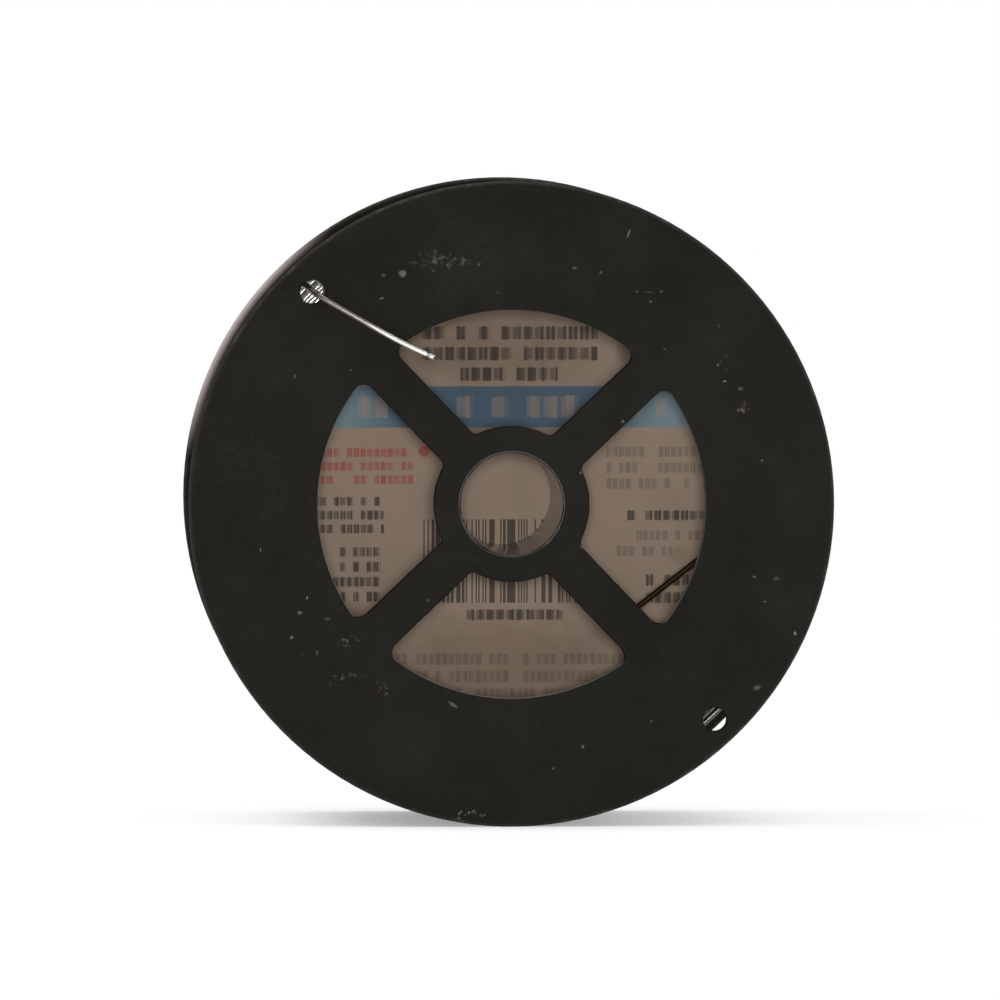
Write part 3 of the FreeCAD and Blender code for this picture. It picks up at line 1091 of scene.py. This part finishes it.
def stand(name, data, place, towards):
    """Stands a lamp or camera at a place, turned to look back along a direction."""
    item = bpy.data.objects.new(name, data)
    item.location = place
    item.rotation_euler = (-towards).to_track_quat("-Z", "Y").to_euler()
    bpy.context.scene.collection.objects.link(item)
    return item


def area_lamp(name, azimuth, elevation, distance, size, watts, mirrored):
    """Soft square lamp that looks at the object, and that gloss mirrors or not."""
    towards = direction(math.radians(azimuth), math.radians(elevation))
    data = bpy.data.lights.new(name, "AREA")
    data.shape = "SQUARE"
    data.size = size
    data.energy = watts
    lamp = stand(name, data, towards * distance, towards)
    lamp.visible_camera = False
    lamp.visible_glossy = mirrored


def white_floor(colour):
    """Pale floor that renders white around the object and keeps its soft shadow."""
    material = bpy.data.materials.new("pale_floor")
    material.use_nodes = True
    graph = Graph(material.node_tree)
    nodes = material.node_tree.nodes
    nodes.remove(nodes["Principled BSDF"])
    parts = graph.split(graph.node("ShaderNodeTexCoord").outputs["Object"])
    away = graph.reach(parts[0], parts[1])
    path = graph.node("ShaderNodeLightPath").outputs
    seen = graph.highest(path["Is Camera Ray"], path["Is Transmission Ray"])
    pale = graph.node("ShaderNodeBsdfDiffuse", {"Color": opaque(colour)})
    near = graph.step(away, 0.012, 0.058, 0.28, 0.86)
    share = graph.math("ADD", near, graph.step(away, 0.1, 0.6, 0.0, 0.14))
    glow = graph.node("ShaderNodeEmission", {"Color": (1, 1, 1, 1), "Strength": 1.0})
    blend = graph.node("ShaderNodeMixShader", {0: graph.product(seen, share), 1: pale.outputs[0],
                                               2: glow.outputs[0]})
    graph.feed(nodes["Material Output"].inputs["Surface"], blend.outputs[0])
    return material


def set_world(level, front_level):
    """White surroundings for the camera, and for the light on the object a grey room, dim in front."""
    world = bpy.data.worlds.new("studio")
    bpy.context.scene.world = world
    world.use_nodes = True
    graph = Graph(world.node_tree)
    nodes = world.node_tree.nodes
    way = graph.split(graph.node("ShaderNodeTexCoord").outputs["Generated"])
    room = graph.step(way[1], -0.8, 0.3, front_level, level)
    path = graph.node("ShaderNodeLightPath").outputs
    seen = graph.highest(path["Is Camera Ray"], path["Is Transmission Ray"])
    room = graph.product(room, graph.math("MULTIPLY_ADD", path["Is Glossy Ray"], -0.65, 1.0))
    strength = graph.math("MULTIPLY_ADD", seen, graph.math("SUBTRACT", 1.0, room), room)
    graph.feed(nodes["Background"].inputs["Color"], (1, 1, 1, 1))
    graph.feed(nodes["Background"].inputs["Strength"], strength)


class WIRESPOOL_OT_stage(bpy.types.Operator):
    """Sets the floor, the lamps, the surroundings and the camera"""

    bl_idname = "wire_spool.stage"
    bl_label = "Set Stage"

    def execute(self, context):
        settings = context.scene.wire_spool_stage
        deselect()
        bpy.ops.mesh.primitive_plane_add(size=8.0, location=(0, 0, FLOOR_HEIGHT))
        floor = bpy.context.object
        floor.name = "floor"
        give_material(floor, white_floor(settings.floor_colour))

        for lamp in LAMPS:
            area_lamp(*lamp)
        set_world(settings.sky, settings.front_sky)

        aim = Vector((settings.aim_right, PLAIN_FACE, settings.aim_up))
        towards = direction(settings.azimuth, settings.elevation)
        data = bpy.data.cameras.new("camera")
        data.lens = settings.lens
        data.sensor_width = 36.0
        data.clip_end = 100.0
        context.scene.camera = stand("camera", data, aim + towards * settings.distance, towards)
        context.scene.view_settings.view_transform = "Standard"
        return {"FINISHED"}


class WIRESPOOL_PT_panel(bpy.types.Panel):
    """Lists the pieces of the spool and what can be changed"""

    bl_label = "Wire Spool"
    bl_idname = "WIRESPOOL_PT_panel"
    bl_space_type = "VIEW_3D"
    bl_region_type = "UI"
    bl_category = "Wire Spool"

    def draw(self, context):
        for operator, name, settings in PIECES:
            box = self.layout.box()
            box.operator(operator.bl_idname)
            group = getattr(context.scene, name)
            for value in group.bl_rna.properties.keys():
                if value not in ("rna_type", "name"):
                    box.prop(group, value)


PIECES = (
    (WIRESPOOL_OT_spool, "wire_spool_plastic", PlasticSettings),
    (WIRESPOOL_OT_wire, "wire_spool_wire", WireSettings),
    (WIRESPOOL_OT_label, "wire_spool_label", LabelSettings),
    (WIRESPOOL_OT_stage, "wire_spool_stage", StageSettings),
)


def register():
    for operator, name, settings in PIECES:
        bpy.utils.register_class(settings)
        setattr(bpy.types.Scene, name, bpy.props.PointerProperty(type=settings))
        bpy.utils.register_class(operator)
    bpy.utils.register_class(WIRESPOOL_PT_panel)


def unregister():
    bpy.utils.unregister_class(WIRESPOOL_PT_panel)
    for operator, name, settings in reversed(PIECES):
        bpy.utils.unregister_class(operator)
        delattr(bpy.types.Scene, name)
        bpy.utils.unregister_class(settings)


def main():
    register()
    bpy.ops.wire_spool.spool()
    bpy.ops.wire_spool.wire()
    bpy.ops.wire_spool.label()
    bpy.ops.wire_spool.stage()


if __name__ == "__main__":
    main()
